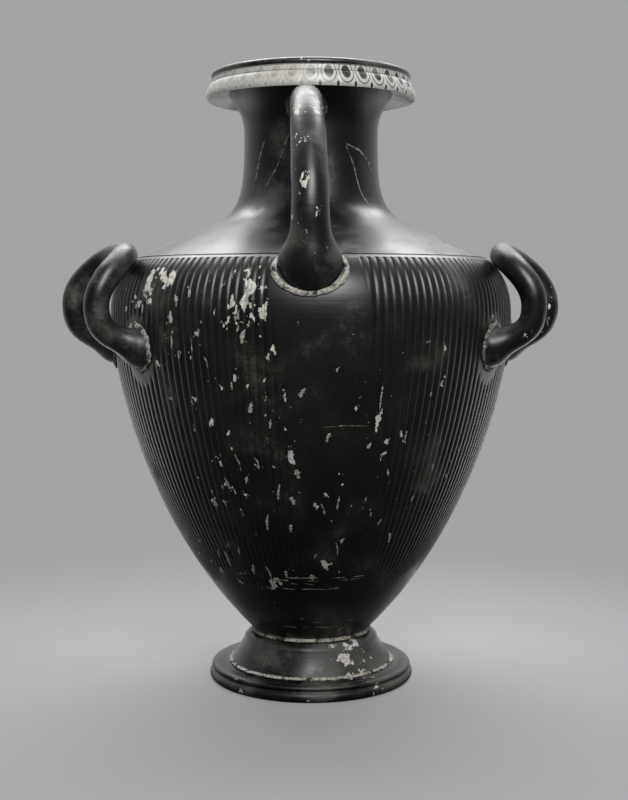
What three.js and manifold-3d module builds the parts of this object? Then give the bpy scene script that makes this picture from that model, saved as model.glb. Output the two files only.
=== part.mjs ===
// A ribbed water jar of fired clay with a black gloss, after the Greek hydria.
// It has two upturned carrying handles at its sides and one tall pouring handle at its back.
// The jar was thrown in sections on a wheel. The sections, the foot and the pulled handles were
// then luted together, so each is a piece of its own here.
// Units are millimetres and +Z is up. The origin is on the jar's axis, in the plane it stands on.
// The back handle stands towards -Y. The side handles stand towards +X and -X.

import * as THREE from "three";
import { mergeVertices } from "three/addons/utils/BufferGeometryUtils.js";
import Module from "manifold-3d";

const wasm = await Module();
wasm.setup();

// Fits
const clearance = 0.3; // between two pieces that rest on each other
const segments = 48; // facets round a thrown piece
const rodSides = 12; // facets round a handle

// Walls
const potWall = 6; // bowl and shoulder
const neckWall = 6.5;
const footWall = 9;
const floorThickness = 8; // the bowl's floor

// Foot plate, a moulded ring with two rolls round its rim
const plateRadius = 77; // over the lower roll
const plateBore = 50;
const restWidth = 15; // the flat that the jar stands on
const restInset = 4; // from the rim in to that flat
const lowerRollHeight = 7.9;
const upperRollHeight = 4.6;
const rollStep = 1.6; // how far the upper roll stands back
const rollGroove = 1; // depth of the groove between the rolls
const plateSeatHeight = 12.3; // the flat inside the rolls, which carries the stem
const seatGrooveWidth = 3;
const seatGrooveDepth = 1.2;

// Pale beds of filler that show as ragged rings, one under the stem and one over it
const fillThickness = 0.9;
const jointThickness = 2.2;
const fillReach = 1.1; // how far a bed stands out past the piece on it

// Stem, a hollow cone with a round shoulder
const stemFootRadius = 60.6;
const stemHeight = 21.2;
const stemWaistRadius = 51;
const stemShoulderHeight = 6;
const stemShoulderWidth = 7;
const stemBore = 27;

// Bowl, the ribbed body up to the line that starts the ribs
const bowlFootRadius = 43.5;
const bellyRadius = 148.5;
const bellyHeight = 238; // above the bowl's foot
const seamDrop = 40; // from the bowl's top to the belly
const seamRadius = 130;
const bowlFlare = 44.8; // degrees off vertical where the bowl leaves the foot

// Shoulder and neck
const shoulderHeight = 28.3;
const neckBaseRadius = 67;
const neckHeight = 91.8;
const neckWaistHeight = 64; // above the neck's base
const neckWaistRadius = 49.7;
const neckTopRadius = 60.4;

// How the wall bends: its lean at each joint, in degrees from straight out to straight up, and the
// share of each stretch's height over which it keeps to that lean
const seamAngle = 153.4;
const neckFootAngle = 149;
const neckTopAngle = 62;
const bowlFootPull = 0.51;
const bellyPullBelow = 0.15;
const bellyPullAbove = 0.64;
const seamPull = 0.12;
const shoulderPullOut = 1.1;
const shoulderPullIn = 0.45;
const neckFootPull = 0.31;
const neckWaistPullBelow = 0.53;
const neckWaistPullAbove = 0.5;
const neckTopPull = 0.34;

// Mouth, an overhanging ring with a rounded face below a plain roll
const lipRadius = 77.8;
const lipDroop = 4.4; // how far the lip hangs below the neck's top
const faceHeight = 11; // the rounded face
const faceSetback = 4.6; // how much narrower the face is at its top
const bandHeight = 3.1; // the plain band above the face
const rimRollHeight = 5.9;
const rimRollRadius = 73.6;
const rimFlatWidth = 3.5;
const mouthSlope = 8; // how far the rim's inside slopes in

// Back handle, from the shoulder up to the neck under the lip
const backLowerRadius = 13;
const backUpperRadius = 10.5;
const backRootHeight = 13; // below the seam
const backStandOff = 13; // of its centre line, out from the seam
const backReachHeight = 25; // above the seam
const backLean = 3; // sideways at its top
const backUnderLip = 0.6; // gap below the lip

// Side handles
const sideRodRadius = 9;
const sideStandOff = 22; // of the centre line, out from the belly
const armSpacing = 72; // between the two arms
const sideRootHeight = 62.5; // below the seam, at an arm's root
const sideRootRise = 21; // degrees above level where an arm leaves the wall
const elbowRise = 28; // from the roots to where an arm stands upright
const loopRise = 64; // from the roots to the crossbar
const crossbarInset = 27; // of the crossbar from the reach
const rootPull = 0.8; // shares of the way over which the line keeps its direction, from the wall,
const elbowPullBelow = 0.64; // below the elbow
const elbowPullAbove = 0.56; // and above it
const leftTurn = 22; // degrees towards the back handle
const rightTurn = 16.5;

// Flare of a handle where it meets the pot, its run inside the wall, and the coil of clay round it
const backLowerFlare = 8; // added to the handle's radius at its root
const backUpperFlare = 2;
const sideFlare = 5;
const backFlareLength = 14; // along the handle, to where little of the flare is left
const sideFlareLength = 9;
const bowlBuried = 9; // how far a handle's curve runs on inside the bowl, so that the wall trims it
const neckBuried = 16;
const wallFallAtRoots = 2.4; // how much narrower the wall is at the side handles' roots than at the belly
const coilWidth = 3;
const coilThickness = 2.2;

// Reaches of the handles' centre lines from the axis
const backReach = seamRadius + backStandOff;
const sideReach = bellyRadius + sideStandOff;

// Heights, stacked from the ground up
const plateTop = plateSeatHeight;
const stemBase = plateTop + fillThickness + 2 * clearance;
const stemTop = stemBase + stemHeight;
const bowlBase = stemTop + jointThickness + 2 * clearance;
const bellyZ = bowlBase + bellyHeight;
const seamZ = bellyZ + seamDrop;
const neckBase = seamZ + shoulderHeight;
const neckTop = neckBase + neckHeight;
const mouthBase = neckTop + clearance;
const lipZ = neckTop - lipDroop;
const faceTop = lipZ + faceHeight;
const bandTop = faceTop + bandHeight;
const rimTop = bandTop + rimRollHeight;

// Materials
const blackGloss = { color: "#17160f", roughness: 0.28, metalness: 0 };
const paleClay = { color: "#b9ab92", roughness: 0.9, metalness: 0 };
const luting = { color: "#8d857a", roughness: 0.95, metalness: 0 };

const vase = new THREE.Group();

function addPiece(name, geometry, finish) {
  const mesh = new THREE.Mesh(geometry, new THREE.MeshStandardMaterial(finish));
  mesh.name = name;
  vase.add(mesh);
}

function point(radius, height) {
  return new THREE.Vector2(radius, height);
}

// A wall line between two points. An angle is in degrees from straight out to straight up, and
// a reach says how far the line keeps to its angle at that end.
function wallLine(from, fromAngle, fromReach, to, toAngle, toReach) {
  const pull = (angle, reach) => point(1, 0).rotateAround(point(0, 0), THREE.MathUtils.degToRad(angle))
    .multiplyScalar(reach);
  return new THREE.CubicBezierCurve(
    from,
    from.clone().add(pull(fromAngle, fromReach)),
    to.clone().sub(pull(toAngle, toReach)),
    to,
  );
}

// Points along joined wall lines that run upwards, moved sideways by an offset: out when it is
// positive. The first and last points stop short by the given trims, measured along the wall.
function wallPoints(lines, steps, offset = 0, trimStart = 0, trimEnd = 0) {
  const points = [];
  lines.forEach((line, index) => {
    const length = line.getLength();
    const start = index === 0 ? trimStart / length : 0;
    const end = index === lines.length - 1 ? 1 - trimEnd / length : 1;
    for (let step = index === 0 ? 0 : 1; step <= steps; step += 1) {
      const t = start + ((end - start) * step) / steps;
      const along = line.getTangent(t);
      const outward = point(along.y, -along.x);
      points.push(line.getPoint(t).addScaledVector(outward, offset));
    }
  });
  return points;
}

// Points on a quarter or half ellipse, from one angle to another in degrees.
function arc(centre, radiusOut, radiusUp, fromAngle, toAngle, steps) {
  const points = [];
  for (let step = 0; step <= steps; step += 1) {
    const angle = THREE.MathUtils.degToRad(fromAngle + ((toAngle - fromAngle) * step) / steps);
    points.push(point(centre.x + radiusOut * Math.cos(angle), centre.y + radiusUp * Math.sin(angle)));
  }
  return points;
}

// Turns an outline about the jar's axis. The outline runs up its outer side first.
function turned(outline) {
  const closed = outline[0].x === 0 ? outline : [...outline, outline[0].clone()];
  return new THREE.LatheGeometry(closed, segments).rotateX(Math.PI / 2);
}

// Solids for joining and cutting
function toSolid(geometry) {
  const bare = geometry.clone();
  bare.deleteAttribute("normal");
  bare.deleteAttribute("uv");
  const merged = mergeVertices(bare, 0.001);
  return new wasm.Manifold(new wasm.Mesh({
    numProp: 3,
    vertProperties: new Float32Array(merged.attributes.position.array),
    triVerts: new Uint32Array(merged.index.array),
  }));
}

function toGeometry(solid) {
  const mesh = solid.getMesh();
  const geometry = new THREE.BufferGeometry();
  geometry.setAttribute("position", new THREE.BufferAttribute(mesh.vertProperties, 3));
  geometry.setIndex(new THREE.BufferAttribute(mesh.triVerts, 1));
  geometry.computeVertexNormals();
  return geometry;
}

// The wall lines of the pot, from the bowl's foot to the neck's top
const bowlFoot = point(bowlFootRadius, bowlBase);
const belly = point(bellyRadius, bellyZ);
const seam = point(seamRadius, seamZ);
const neckFoot = point(neckBaseRadius, neckBase);
const neckWaist = point(neckWaistRadius, neckBase + neckWaistHeight);
const neckEnd = point(neckTopRadius, neckTop);
const bowlLines = [
  wallLine(bowlFoot, 90 - bowlFlare, bowlFootPull * bellyHeight, belly, 90, bellyPullBelow * bellyHeight),
  wallLine(belly, 90, bellyPullAbove * seamDrop, seam, seamAngle, seamPull * seamDrop),
];
const shoulderLines = [
  wallLine(
    seam, seamAngle, shoulderPullOut * shoulderHeight,
    neckFoot, neckFootAngle, shoulderPullIn * shoulderHeight,
  ),
];
const neckRise = neckHeight - neckWaistHeight;
const neckLines = [
  wallLine(
    neckFoot, neckFootAngle, neckFootPull * neckWaistHeight,
    neckWaist, 90, neckWaistPullBelow * neckWaistHeight,
  ),
  wallLine(neckWaist, 90, neckWaistPullAbove * neckRise, neckEnd, neckTopAngle, neckTopPull * neckRise),
];

function makeFootPlate() {
  const rest = plateRadius - restInset;
  const lowerRoll = point(rest, lowerRollHeight / 2);
  const upperRadius = plateRadius - rollStep;
  const upperRoll = point(upperRadius - restInset, lowerRollHeight + upperRollHeight / 2);
  const grooveAngle = 12; // how far each roll's round face runs before the groove cuts it
  const outline = [
    ...arc(lowerRoll, restInset, lowerRollHeight / 2, -90, 90 - 2 * grooveAngle, 4),
    point(upperRadius - rollGroove, lowerRollHeight),
    ...arc(upperRoll, restInset, upperRollHeight / 2, -90 + 3 * grooveAngle, 90, 4),
    point(stemFootRadius + fillReach + 2 * seatGrooveWidth, plateTop - seatGrooveDepth / 2),
    point(stemFootRadius + fillReach + seatGrooveWidth, plateTop - seatGrooveDepth),
    point(stemFootRadius + fillReach + clearance, plateTop),
    point(plateBore, plateTop),
    point(plateBore, plateTop / 2),
    point(rest - restWidth, 0),
  ];
  return turned(outline);
}

function makeFillRing(base, thickness, bore, radius) {
  const middle = point(radius, base + thickness / 2);
  return turned([
    point(bore, base),
    ...arc(middle, fillReach, thickness / 2, -90, 90, 2),
    point(bore, base + thickness),
  ]);
}

function makeStem() {
  const shoulderZ = stemTop - stemShoulderHeight;
  const shoulder = point(stemWaistRadius - stemShoulderWidth, shoulderZ);
  return turned([
    point(stemFootRadius, stemBase),
    ...arc(shoulder, stemShoulderWidth, stemShoulderHeight, 0, 90, 4),
    point(stemBore, stemTop),
    point(stemBore, stemTop - footWall),
    point(stemWaistRadius - footWall, shoulderZ - footWall / 2),
    point(stemFootRadius - footWall, stemBase),
  ]);
}

function makeBowl() {
  const floor = bowlBase + floorThickness;
  const outer = wallPoints(bowlLines, 8, 0, 0, clearance / 2);
  const inner = wallPoints(bowlLines, 5, -potWall, 0, clearance / 2)
    .filter((p) => p.y > floor + floorThickness / 2)
    .reverse();
  return turned([point(0, bowlBase), ...outer, ...inner, point(0, floor)]);
}

// Each wall stops half a clearance short of the joint with the next one.
function makeShoulder() {
  const outer = wallPoints(shoulderLines, 6, 0, clearance / 2, clearance / 2);
  const inner = wallPoints(shoulderLines, 4, -potWall, clearance / 2, clearance / 2).reverse();
  return turned([...outer, ...inner]);
}

// The neck ends in a level rim that carries the mouth ring.
function makeNeck() {
  const outer = wallPoints(neckLines, 6, 0, clearance / 2, 0);
  const inner = wallPoints(neckLines, 4, -neckWall, clearance / 2, 0)
    .filter((p) => p.y < neckTop - neckWall)
    .reverse();
  return turned([...outer, point(neckTopRadius - neckWall, neckTop), ...inner]);
}

function mouthOutline() {
  const faceFoot = point(lipRadius - faceSetback, lipZ);
  const rim = point(rimRollRadius - rimRollHeight / 2, bandTop + rimRollHeight / 2);
  const flat = rim.x - rimFlatWidth;
  return [
    point(neckTopRadius + clearance, mouthBase),
    point(0.5 * (neckTopRadius + lipRadius), neckTop - 0.3 * lipDroop),
    point(lipRadius - 1, lipZ),
    ...arc(faceFoot, faceSetback, faceHeight, 8, 80, 4),
    point(lipRadius - faceSetback - 0.4, bandTop),
    ...arc(rim, rimRollHeight / 2, rimRollHeight / 2, -50, 90, 4),
    point(flat, rimTop),
    point(flat - mouthSlope, 0.6 * rimTop + 0.4 * mouthBase),
    point(neckTopRadius - neckWall, mouthBase),
  ];
}

// The pot as one filled solid that stands an offset outside its real wall, for cutting handles
function filledPot(offset) {
  const walls = wallPoints([...bowlLines, ...shoulderLines, ...neckLines], 8, offset);
  return toSolid(turned([point(0, bowlBase - offset), ...walls, point(0, neckTop + offset)]));
}

function filledMouth(offset) {
  const outline = mouthOutline().map((p) => point(p.x + (p.x > neckTopRadius ? offset : 0), p.y - offset));
  return toSolid(turned(outline));
}

// A round rod along a curve. Its radius at a share of the way comes from radiusAt.
function rod(curve, steps, radiusAt) {
  const frames = curve.computeFrenetFrames(steps, false);
  const positions = [];
  const indices = [];
  for (let step = 0; step <= steps; step += 1) {
    const share = step / steps;
    const centre = curve.getPointAt(share);
    for (let side = 0; side < rodSides; side += 1) {
      const angle = (2 * Math.PI * side) / rodSides;
      const spoke = frames.normals[step].clone().multiplyScalar(Math.cos(angle));
      spoke.addScaledVector(frames.binormals[step], Math.sin(angle));
      positions.push(...centre.clone().addScaledVector(spoke, radiusAt(share)).toArray());
    }
  }
  for (let step = 0; step < steps; step += 1) {
    for (let side = 0; side < rodSides; side += 1) {
      const next = (side + 1) % rodSides;
      const a = step * rodSides + side;
      const b = step * rodSides + next;
      const c = a + rodSides;
      const d = b + rodSides;
      indices.push(a, b, c, b, d, c);
    }
  }
  for (let side = 1; side < rodSides - 1; side += 1) {
    const last = steps * rodSides;
    indices.push(0, side + 1, side);
    indices.push(last, last + side, last + side + 1);
  }
  const geometry = new THREE.BufferGeometry();
  geometry.setAttribute("position", new THREE.Float32BufferAttribute(positions, 3));
  geometry.setIndex(indices);
  return toSolid(geometry);
}

// A radius along a handle: a plain taper that swells towards both roots. The curve starts and
// ends inside the pot, so each swelling is measured from where the handle comes out.
function handleRadius(length, start, end, extra) {
  return (share) => {
    const swell = (root, distance) => {
      const reach = Math.max(distance, 0) / root.flareLength;
      return root.flare * Math.exp(-(reach ** 2));
    };
    const plain = THREE.MathUtils.lerp(start.radius, end.radius, share);
    const along = share * length;
    return plain + extra + swell(start, along - start.buried) + swell(end, length - along - end.buried);
  };
}

// A smooth line through knots. Each knot has a spot, the direction the line takes there, and the
// reach that it keeps to it, before and after the knot.
function smoothLine(knots) {
  const line = new THREE.CurvePath();
  knots.slice(1).forEach((to, index) => {
    const from = knots[index];
    line.add(new THREE.CubicBezierCurve3(
      from.spot,
      from.spot.clone().addScaledVector(from.direction, from.after),
      to.spot.clone().addScaledVector(to.direction, -to.before),
      to.spot,
    ));
  });
  return line;
}

// The back handle's centre line, up from the shoulder and in under the lip
function backCurve() {
  const place = (out, up, lean) => new THREE.Vector3(-backLean * lean, -out, up);
  const top = lipZ - backUpperRadius - backUnderLip;
  const upright = place(backReach, seamZ + backReachHeight, 0);
  const crest = place(lipRadius, top, 1);
  const rise = crest.z - upright.z;
  return smoothLine([
    { spot: place(seamRadius, seamZ - backRootHeight, 0), direction: place(0.6, 0.8, 0), after: 13 },
    { spot: upright, direction: place(0, 1, 0), before: 15, after: 0.4 * rise },
    { spot: crest, direction: place(-1, 0, 0), before: 0.42 * (backReach - lipRadius), after: 12 },
    { spot: place(neckWaistRadius - neckBuried, top - 4, 1), direction: place(-0.98, -0.17, 0), before: 12 },
  ]);
}

// A side handle's centre line, for a handle that stands at +X before it is turned
function sideCurve() {
  const arm = armSpacing / 2;
  const rootZ = seamZ - sideRootHeight;
  const spot = (out, across, up) => new THREE.Vector3(out, across, up);
  const rise = THREE.MathUtils.degToRad(sideRootRise);
  const wallOut = Math.sqrt(bellyRadius ** 2 - arm ** 2) - wallFallAtRoots;
  const rootOut = wallOut - bowlBuried * Math.cos(rise);
  const rootUp = rootZ - bowlBuried * Math.sin(rise);
  const elbowZ = rootZ + elbowRise;
  const below = elbowPullBelow * elbowRise;
  const above = elbowPullAbove * (loopRise - elbowRise);
  const rootRun = rootPull * (sideReach - rootOut);
  const outwards = spot(Math.cos(rise), 0, Math.sin(rise));
  const inwards = spot(-Math.cos(rise), 0, -Math.sin(rise));
  const bar = spot(sideReach - crossbarInset, 0, rootZ + loopRise);
  return smoothLine([
    { spot: spot(rootOut, -arm, rootUp), direction: outwards, after: rootRun },
    { spot: spot(sideReach, -arm, elbowZ), direction: spot(0, 0, 1), before: below, after: above },
    { spot: bar, direction: spot(0, 1, 0), before: arm, after: arm },
    { spot: spot(sideReach, arm, elbowZ), direction: spot(0, 0, -1), before: above, after: below },
    { spot: spot(rootOut, arm, rootUp), direction: inwards, before: rootRun },
  ]);
}

// The solid whose box is centred nearest to a spot
function nearestSolid(solids, spot) {
  const distance = (solid) => {
    const box = solid.boundingBox();
    const centre = new THREE.Vector3(...box.min).add(new THREE.Vector3(...box.max)).multiplyScalar(0.5);
    return centre.distanceTo(spot);
  };
  return [...solids].sort((a, b) => distance(a) - distance(b))[0];
}

// A handle trimmed by what it stands on, and the coils of clay round its two roots
function handleAndCoils(curve, steps, start, end, turn) {
  const length = curve.getLength();
  const [body, sleeve, around] = [0, clearance, coilWidth].map(
    (extra) => rod(curve, steps, handleRadius(length, start, end, extra)),
  );
  const place = (solid) => solid.rotate([0, 0, turn]);
  const pot = filledPot(clearance);
  const mouth = filledMouth(clearance);
  const handle = place(body).subtract(pot).subtract(mouth);
  const clay = place(around)
    .intersect(filledPot(clearance + coilThickness))
    .subtract(pot)
    .subtract(mouth)
    .subtract(place(sleeve))
    .subtract(handle)
    .decompose();
  const upright = new THREE.Vector3(0, 0, 1);
  const coils = [start.buried / length, 1 - end.buried / length].map((share) => {
    const root = curve.getPointAt(share).applyAxisAngle(upright, THREE.MathUtils.degToRad(turn));
    return toGeometry(nearestSolid(clay, root));
  });
  return { handle: toGeometry(handle), coils };
}

addPiece("foot_plate", makeFootPlate(), blackGloss);
addPiece(
  "plate_joint_fill",
  makeFillRing(plateTop + clearance, fillThickness, plateBore + 2, stemFootRadius),
  paleClay,
);
addPiece("foot_stem", makeStem(), blackGloss);
addPiece(
  "body_joint_fill",
  makeFillRing(stemTop + clearance, jointThickness, stemBore + 2, bowlFootRadius),
  paleClay,
);
addPiece("ribbed_bowl", makeBowl(), blackGloss);
addPiece("shoulder", makeShoulder(), blackGloss);
addPiece("neck", makeNeck(), blackGloss);
addPiece("mouth_ring", turned(mouthOutline()), blackGloss);

const lowerRoot = {
  radius: backLowerRadius, flare: backLowerFlare, flareLength: backFlareLength, buried: bowlBuried,
};
const upperRoot = {
  radius: backUpperRadius, flare: backUpperFlare, flareLength: backFlareLength, buried: neckBuried,
};
const sideRoot = {
  radius: sideRodRadius, flare: sideFlare, flareLength: sideFlareLength, buried: bowlBuried,
};
const back = handleAndCoils(backCurve(), 22, lowerRoot, upperRoot, 0);
addPiece("back_handle", back.handle, blackGloss);
addPiece("back_handle_lower_luting", back.coils[0], luting);
addPiece("back_handle_upper_luting", back.coils[1], luting);

// Each side handle's curve starts at the root that is nearer the back handle on the right side,
// and at the farther one on the left side.
const right = handleAndCoils(sideCurve(), 32, sideRoot, sideRoot, -rightTurn);
addPiece("right_handle", right.handle, blackGloss);
addPiece("right_handle_near_luting", right.coils[0], luting);
addPiece("right_handle_far_luting", right.coils[1], luting);

const left = handleAndCoils(sideCurve(), 32, sideRoot, sideRoot, 180 + leftTurn);
addPiece("left_handle", left.handle, blackGloss);
addPiece("left_handle_near_luting", left.coils[1], luting);
addPiece("left_handle_far_luting", left.coils[0], luting);

export default vase;
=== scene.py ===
# %% [markdown]
# A ribbed water jar of fired clay with a worn black gloss. It has an overhanging mouth, two
# upturned side handles and a tall handle at its back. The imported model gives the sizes, and this
# file gives every surface the shape and finish that the eye sees.

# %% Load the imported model
import bpy
import math
import random
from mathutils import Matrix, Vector, noise


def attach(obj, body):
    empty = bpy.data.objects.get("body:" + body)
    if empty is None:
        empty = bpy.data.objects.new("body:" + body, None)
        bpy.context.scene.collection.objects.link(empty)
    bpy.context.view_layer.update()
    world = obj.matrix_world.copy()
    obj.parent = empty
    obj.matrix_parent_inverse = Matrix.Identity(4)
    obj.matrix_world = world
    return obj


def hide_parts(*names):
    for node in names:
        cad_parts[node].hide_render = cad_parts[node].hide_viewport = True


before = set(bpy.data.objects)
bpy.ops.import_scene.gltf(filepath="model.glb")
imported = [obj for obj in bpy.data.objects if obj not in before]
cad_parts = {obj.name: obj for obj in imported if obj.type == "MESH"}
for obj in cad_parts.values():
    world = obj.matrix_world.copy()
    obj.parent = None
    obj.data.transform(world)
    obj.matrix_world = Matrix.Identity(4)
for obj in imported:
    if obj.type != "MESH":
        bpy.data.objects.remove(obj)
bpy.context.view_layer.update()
print("packed nodes:", len(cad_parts))

# %% [markdown]
# The photograph looks at the back handle from a little above. How much wider the near rings open
# than the far ones gave the camera's distance, and the jar's height in the frame gave the lens.
# The camera has no shift, so its aim alone places the jar in the frame.

# %% Camera
MM = 0.001
CAMERA_DIP = 4.528
camera_data = bpy.data.cameras.new("plate_camera")
camera_data.sensor_fit = "VERTICAL"
camera_data.sensor_height = 36
camera_data.lens = 58.5
camera_data.clip_end = 50
camera = bpy.data.objects.new("plate_camera", camera_data)
camera.location = (2.25 * MM, -976.5 * MM, 287.4 * MM)
camera.rotation_euler = (math.radians(90 - CAMERA_DIP), 0, 0)
bpy.context.scene.collection.objects.link(camera)
bpy.context.scene.camera = camera
bpy.context.scene.view_settings.view_transform = "Standard"
print("camera distance from the axis, mm:", round(-camera.location.y / MM))


# %% [markdown]
# Materials are built from nodes. One function turns a written colour into the linear numbers that
# Blender works in, and one adds a node with its settings and links.

# %% Colour and node helpers
def linear(hex_colour):
    channels = [int(hex_colour[i:i + 2], 16) / 255 for i in (1, 3, 5)]
    return [c / 12.92 if c <= 0.04045 else ((c + 0.055) / 1.055) ** 2.4 for c in channels] + [1]


def add_node(tree, kind, inputs=None, links=None, **settings):
    node = tree.nodes.new("ShaderNode" + kind)
    for name, value in settings.items():
        setattr(node, name, value)
    for socket, value in (inputs or {}).items():
        node.inputs[socket].default_value = value
    for socket, source in (links or {}).items():
        tree.links.new(source, node.inputs[socket])
    return node


def empty_material(name):
    material = bpy.data.materials.new(name)
    material.use_nodes = True
    material.node_tree.nodes.clear()
    return material


# %% [markdown]
# The room is a plain grey world. It is bright behind the jar and dim in front of it, so the jar's
# edges shine and its front stays black. Light Path lets the camera see the backdrop's grey instead.

# %% Room
BACKDROP = linear("#a3a4a5")
world = bpy.data.worlds.new("studio")
bpy.context.scene.world = world
world.use_nodes = True
sky = world.node_tree
sky.nodes.clear()
path = add_node(sky, "LightPath")
direction = add_node(sky, "SeparateXYZ", links={0: add_node(sky, "TexCoord").outputs["Generated"]})
behind = add_node(sky, "MapRange", {"From Min": -0.35, "From Max": 0.8, "To Min": 0.22, "To Max": 1.25},
                  {"Value": direction.outputs["Y"]}, interpolation_type="SMOOTHSTEP")
room_light = add_node(sky, "Background", {"Color": linear("#c4c6c8")}, {"Strength": behind.outputs[0]})
seen = add_node(sky, "Background", {"Color": BACKDROP, "Strength": 1.0})
pick = add_node(sky, "MixShader", links={0: path.outputs["Is Camera Ray"], 1: room_light.outputs[0],
                                         2: seen.outputs[0]})
add_node(sky, "OutputWorld", links={"Surface": pick.outputs[0]})

# %% [markdown]
# The jar stands on a sheet of matt grey paper. Its colour for the camera is near that of the backdrop. For
# the jar's reflections it carries painted shade in front and painted light behind, standing in for a dim
# room in front of the jar and a bright one behind it. With distance from the jar the sheet fades into the
# backdrop's grey, so no horizon shows.

# %% Floor
FADE_NEAR, FADE_FAR = 0.05, 0.55
SHEET_HALF = 6
paper = empty_material("backdrop_paper")
tree = paper.node_tree
place = add_node(tree, "TexCoord")
distance = add_node(tree, "VectorMath", links={0: place.outputs["Object"]}, operation="LENGTH")
fade = add_node(tree, "MapRange", {"From Min": FADE_NEAR, "From Max": FADE_FAR, "To Min": 0.45},
                {"Value": distance.outputs["Value"]}, interpolation_type="SMOOTHSTEP")
eye = add_node(tree, "LightPath")
depth = add_node(tree, "SeparateXYZ", links={0: place.outputs["Object"]})
# Painted shade on the sheet's front half and painted light on its back half, seen only in the jar's
# reflections.
lit_part = add_node(tree, "MapRange", {"From Min": -0.05, "From Max": 0.35},
                    {"Value": depth.outputs["Y"]}, interpolation_type="SMOOTHSTEP")
painted_shade_and_light = add_node(tree, "Mix", {6: linear("#3c3c3b"), 7: linear("#d8d8d8")},
                    {0: lit_part.outputs[0]}, data_type="RGBA")
seen_paper = add_node(tree, "Mix", {7: linear("#979898")},
                      {0: eye.outputs["Is Camera Ray"], 6: painted_shade_and_light.outputs[2]}, data_type="RGBA")
sheet_colour = add_node(tree, "BsdfDiffuse", links={"Color": seen_paper.outputs[2]})
far_paper = add_node(tree, "Emission", {"Color": BACKDROP, "Strength": 1.0})
far_light = add_node(tree, "MixShader", links={0: eye.outputs["Is Camera Ray"], 1: sheet_colour.outputs[0],
                                               2: far_paper.outputs[0]})
both = add_node(tree, "MixShader", links={0: fade.outputs[0], 1: sheet_colour.outputs[0],
                                          2: far_light.outputs[0]})
add_node(tree, "OutputMaterial", links={"Surface": both.outputs[0]})

floor_mesh = bpy.data.meshes.new("floor")
corners = [(x * SHEET_HALF, y * SHEET_HALF, 0) for x, y in ((-1, -1), (1, -1), (1, 1), (-1, 1))]
floor_mesh.from_pydata(corners, [], [(0, 1, 2, 3)])
floor_mesh.materials.append(paper)
floor = bpy.data.objects.new("floor", floor_mesh)
bpy.context.scene.collection.objects.link(floor)


# %% [markdown]
# A large soft lamp above and behind the jar gives the shoulder its grey sheen. A second one, high
# in front, draws the long soft light down the back handle and over the tops of the ribs.

# %% Lamps
LAMP_AIM = (0, 0, 0.3)


def soft_lamp(name, place, size, watts):
    lamp = bpy.data.lights.new(name, "AREA")
    lamp.shape = "RECTANGLE"
    lamp.size, lamp.size_y = size
    lamp.energy = watts
    holder = bpy.data.objects.new(name, lamp)
    holder.location = place
    holder.rotation_euler = (Vector(LAMP_AIM) - Vector(place)).to_track_quat("-Z", "Y").to_euler()
    bpy.context.scene.collection.objects.link(holder)


soft_lamp("overhead_lamp", place=(0.0, 0.95, 1.9), size=(2.6, 1.3), watts=95)
soft_lamp("front_window", place=(0.22, -1.35, 1.3), size=(0.7, 0.7), watts=26)


# %% [markdown]
# The pot's wall is one profile turned on the wheel, in millimetres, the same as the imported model
# has. It is a chain of curves between a few turning points, each with a radius, a height and the
# lean of the wall there: 90 degrees is upright. A point on the wall is found from its height and
# its angle round the jar. Angle 0 faces the back handle.

# %% Wall profile
BASE = ((43.5, 37.8), 45.2)
BELLY = ((148.5, 275.8), 90)
SEAM = ((130.0, 315.8), 153.4)
NECK_FOOT = ((67.0, 344.1), 149)
NECK_WAIST = ((49.7, 408.1), 90)
NECK_TOP = ((60.4, 435.9), 62)


def curve_point(a, b, c, d, t):
    u = 1 - t
    return a * u ** 3 + b * 3 * u * u * t + c * 3 * u * t * t + d * t ** 3


def wall_line(start, start_reach, end, end_reach, steps):
    def lean(degrees, reach):
        return Vector((math.cos(math.radians(degrees)), math.sin(math.radians(degrees)))) * reach
    a, d = Vector(start[0]), Vector(end[0])
    b, c = a + lean(start[1], start_reach), d - lean(end[1], end_reach)
    return [curve_point(a, b, c, d, step / steps) for step in range(steps + 1)]


bowl_wall = wall_line(BASE, 121.4, BELLY, 35.7, steps=70) + wall_line(BELLY, 25.6, SEAM, 4.8, steps=26)[1:]
shoulder_wall = wall_line(SEAM, 31.1, NECK_FOOT, 12.7, steps=24)
neck_wall = wall_line(NECK_FOOT, 19.8, NECK_WAIST, 33.9, steps=22)
neck_wall += wall_line(NECK_WAIST, 13.9, NECK_TOP, 9.5, steps=12)[1:]
whole_wall = bowl_wall + shoulder_wall[1:] + neck_wall[1:]


def wall_radius(height):
    for low, high in zip(whole_wall, whole_wall[1:]):
        if low.y <= height <= high.y:
            share = (height - low.y) / max(high.y - low.y, 1e-6)
            return low.x + (high.x - low.x) * share
    return whole_wall[-1].x


def round_jar(radius, angle, height):
    return Vector((radius * math.sin(angle), -radius * math.cos(angle), height)) * MM


print("belly radius at 250 mm:", round(wall_radius(250), 1))


# %% [markdown]
# Every turned piece is a closed loop of points swept round the axis. A thrown wall is never quite
# true, so a slow noise draws each point in by up to 0.4 mm. A relief
# function can press ribs or grooves into it. Edges sharper than the crease angle stay crisp, and
# the rest is shaded smooth.

# %% Turning a piece
CREASE = math.radians(42)
WOBBLE, WOBBLE_HEIGHT, WOBBLE_ROUND = 0.2, 30, 2


def make_piece(name, points, faces, material, *nodes):
    mesh = bpy.data.meshes.new(name)
    mesh.from_pydata([tuple(p) for p in points], [], faces)
    mesh.materials.append(material)
    mesh.polygons.foreach_set("use_smooth", [True] * len(mesh.polygons))
    mesh.update()
    mesh.set_sharp_from_angle(angle=CREASE)
    piece = bpy.data.objects.new(name, mesh)
    bpy.context.scene.collection.objects.link(piece)
    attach(piece, "root")
    if nodes:
        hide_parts(*nodes)
    return piece


def wobble(angle, height):
    spot = (WOBBLE_ROUND * math.sin(angle), WOBBLE_ROUND * math.cos(angle), height / WOBBLE_HEIGHT)
    return noise.noise(spot) * WOBBLE - WOBBLE


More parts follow.
